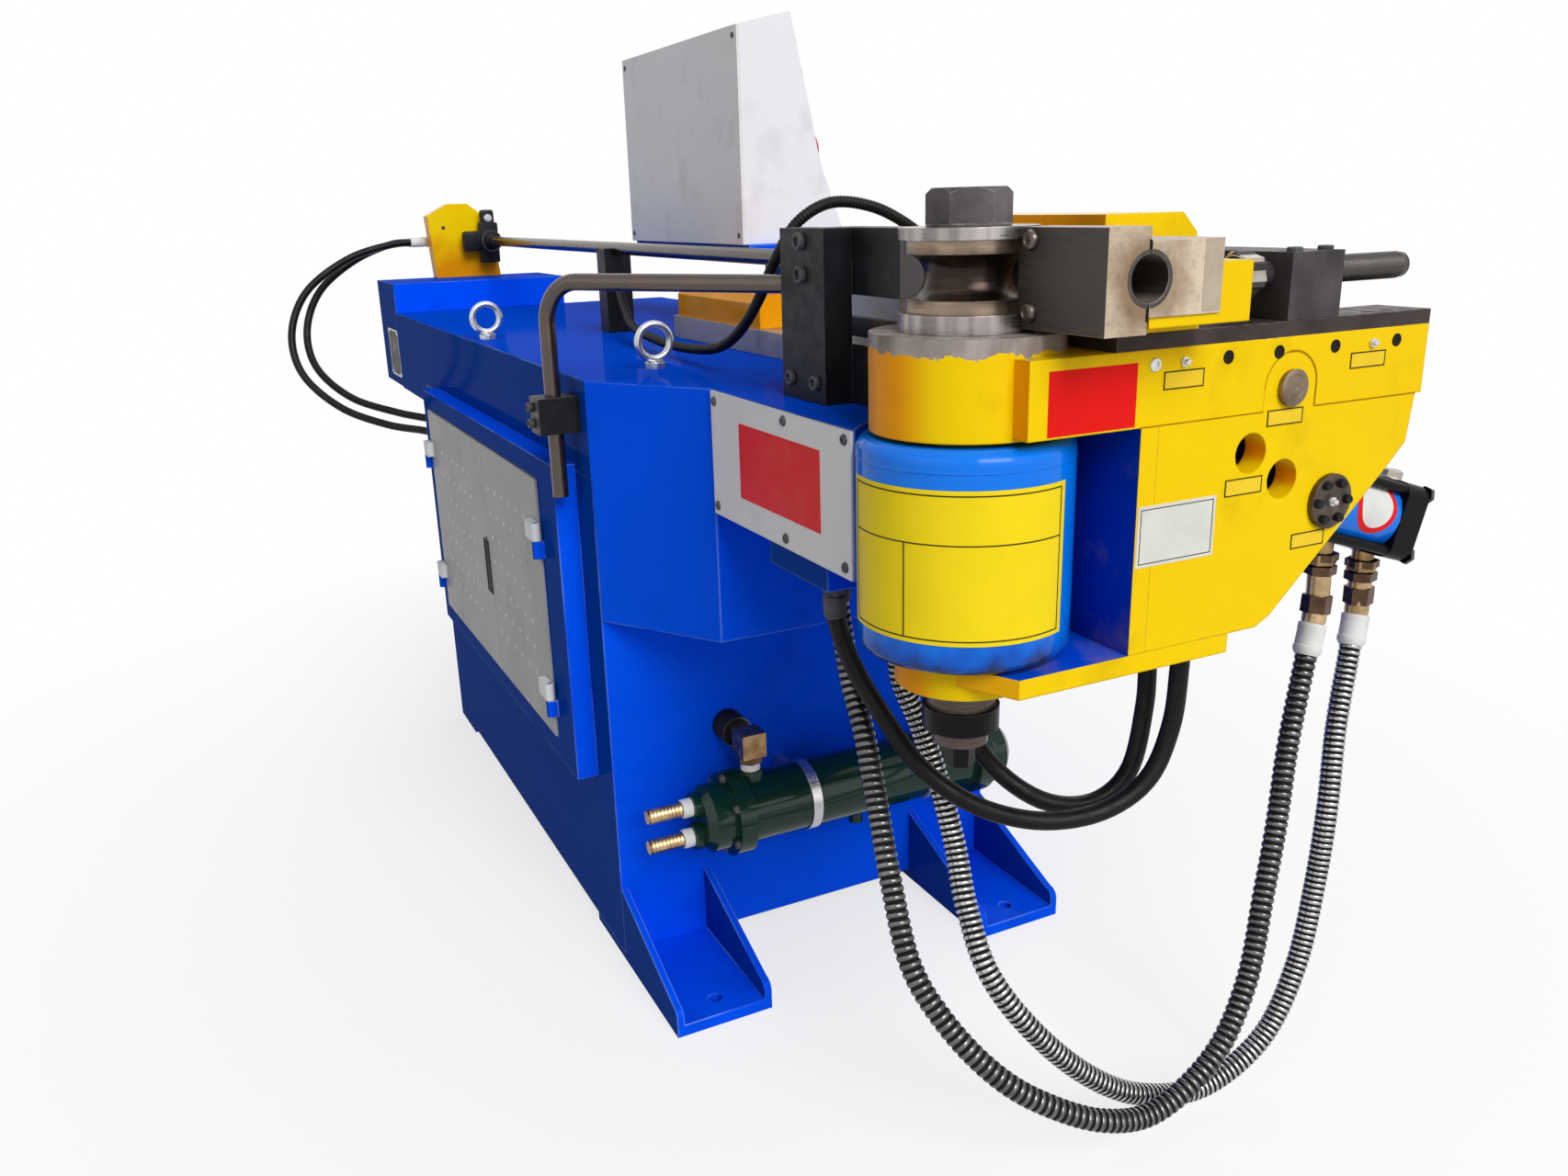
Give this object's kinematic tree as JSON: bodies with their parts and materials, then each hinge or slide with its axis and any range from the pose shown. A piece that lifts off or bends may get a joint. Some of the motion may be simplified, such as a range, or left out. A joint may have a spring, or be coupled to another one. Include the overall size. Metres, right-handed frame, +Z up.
{
  "type": "hydraulic pipe bender",
  "caption": "Hydraulic rotary draw pipe bender with swinging clamp arm, bend, wiper and pressure dies, mandrel rod, console and oil cooler",
  "frame": {"origin": "centre of the four floor bolt holes, at floor level", "axes": "+X along the tube towards the bend spindle end, +Y towards the operator's console side, +Z up"},
  "size_m": [2.38, 0.9896, 1.288],
  "materials": {
    "blue_paint": "gloss enamel",
    "yellow_paint": "gloss enamel",
    "grey_paint": "satin powder coat",
    "green_paint": "gloss enamel",
    "red_plastic": "moulded",
    "tool_steel": "turned and milled, heat tinted",
    "black_steel": "blackened",
    "plated_steel": "bright plated",
    "brass": "machined",
    "hose_rubber": "smooth rubber",
    "hose_armour": "wound steel strip"
  },
  "bodies": {
    "frame": {"base_cabinet": "blue_paint", "floor_feet": "blue_paint", "upper_bed": "blue_paint", "rear_box": "blue_paint", "nose_plate": "grey_paint", "door_frame": "blue_paint", "spindle_housing": "blue_paint", "spindle_bushes": "brass", "wiper_column": "black_steel", "wiper_die": "tool_steel", "brace_rod": "tool_steel", "rod_clamps": "black_steel", "eye_bolts": "plated_steel", "sensor_conduit": "hose_rubber", "pressure_bed": "tool_steel", "pressure_block": "yellow_paint", "pressure_cylinder": "blue_paint", "mandrel_bracket": "yellow_paint", "mandrel_cylinder": "black_steel", "console_case": "grey_paint", "console_back": "grey_paint", "console_stand": "blue_paint", "cooler_shell": "green_paint", "cooler_caps": "green_paint", "cooler_saddles": "tool_steel", "cooler_fittings": "brass", "hose_manifold": "black_steel", "pump_motor": "green_paint", "armoured_hose_a": "hose_armour", "armoured_hose_b": "hose_armour", "arm_hoses": "hose_rubber", "mandrel_hoses": "hose_rubber"},
    "swing_arm": {"spindle_shaft": "tool_steel", "lock_collar": "black_steel", "bend_die": "tool_steel", "die_rings": "tool_steel", "die_bolt": "black_steel", "arm_upper": "yellow_paint", "arm_cheeks": "yellow_paint", "arm_web": "yellow_paint", "arm_lower": "yellow_paint", "arm_rails": "black_steel", "arm_pins": "tool_steel", "arm_manifold": "black_steel", "grip_block": "tool_steel", "clamp_cylinder": "blue_paint", "cylinder_fittings": "brass"},
    "clamp_slide": {"clamp_slide": "yellow_paint", "clamp_die": "tool_steel", "screw_block": "black_steel", "adjusting_screw": "black_steel"},
    "toggle_lever": {"toggle_lever": "black_steel"},
    "clamp_rod": {"clamp_rod": "tool_steel"},
    "pressure_die": {"pressure_holder": "yellow_paint", "pressure_die": "tool_steel"},
    "mandrel": {"mandrel_rod": "tool_steel"},
    "door_rear": {"door_rear": "grey_paint"},
    "door_front": {"door_front": "grey_paint"},
    "e_stop": {"e_stop": "red_plastic"}
  },
  "joints": [
    {"name": "arm_swing", "type": "hinge", "parent": "frame", "child": "swing_arm", "pos_m": [0.945, -0.111, 0.8], "axis": [0, 0, -1], "range_deg": [0, 180], "deforming": ["armoured_hose_a", "armoured_hose_b", "arm_hoses"]},
    {"name": "clamp_open", "type": "slide", "parent": "swing_arm", "child": "clamp_slide", "axis": [0, 1, 0], "range_m": [0, 0.03]},
    {"name": "lever_swing", "type": "hinge", "parent": "swing_arm", "child": "toggle_lever", "pos_m": [0.945, 0.176, 0.836], "axis": [-1, 0, 0], "range_deg": [0, 33.06]},
    {"name": "rod_stroke", "type": "slide", "parent": "swing_arm", "child": "clamp_rod", "axis": [0, -0.9542, 0.299], "range_m": [0, 0.0541]},
    {"name": "pressure_open", "type": "slide", "parent": "frame", "child": "pressure_die", "axis": [0, 1, 0], "range_m": [0, 0.025]},
    {"name": "mandrel_stroke", "type": "slide", "parent": "frame", "child": "mandrel", "axis": [1, 0, 0], "range_m": [0, 0.06]},
    {"name": "door_rear_hinge", "type": "hinge", "parent": "frame", "child": "door_rear", "pos_m": [-0.458, -0.337, 0.48], "axis": [0, 0, -1], "range_deg": [0, 110]},
    {"name": "door_front_hinge", "type": "hinge", "parent": "frame", "child": "door_front", "pos_m": [0.268, -0.337, 0.48], "axis": [0, 0, 1], "range_deg": [0, 110]},
    {"name": "e_stop_press", "type": "slide", "parent": "frame", "child": "e_stop", "axis": [0, -0.976, -0.218], "range_m": [0, 0.005], "stiffness_N_per_m": 2000}
  ],
  "couplings": [
    {"joint": "lever_swing", "follows": "clamp_open", "rad_per_m": 19.231},
    {"joint": "rod_stroke", "follows": "clamp_open", "ratio": 1.8}
  ]
}
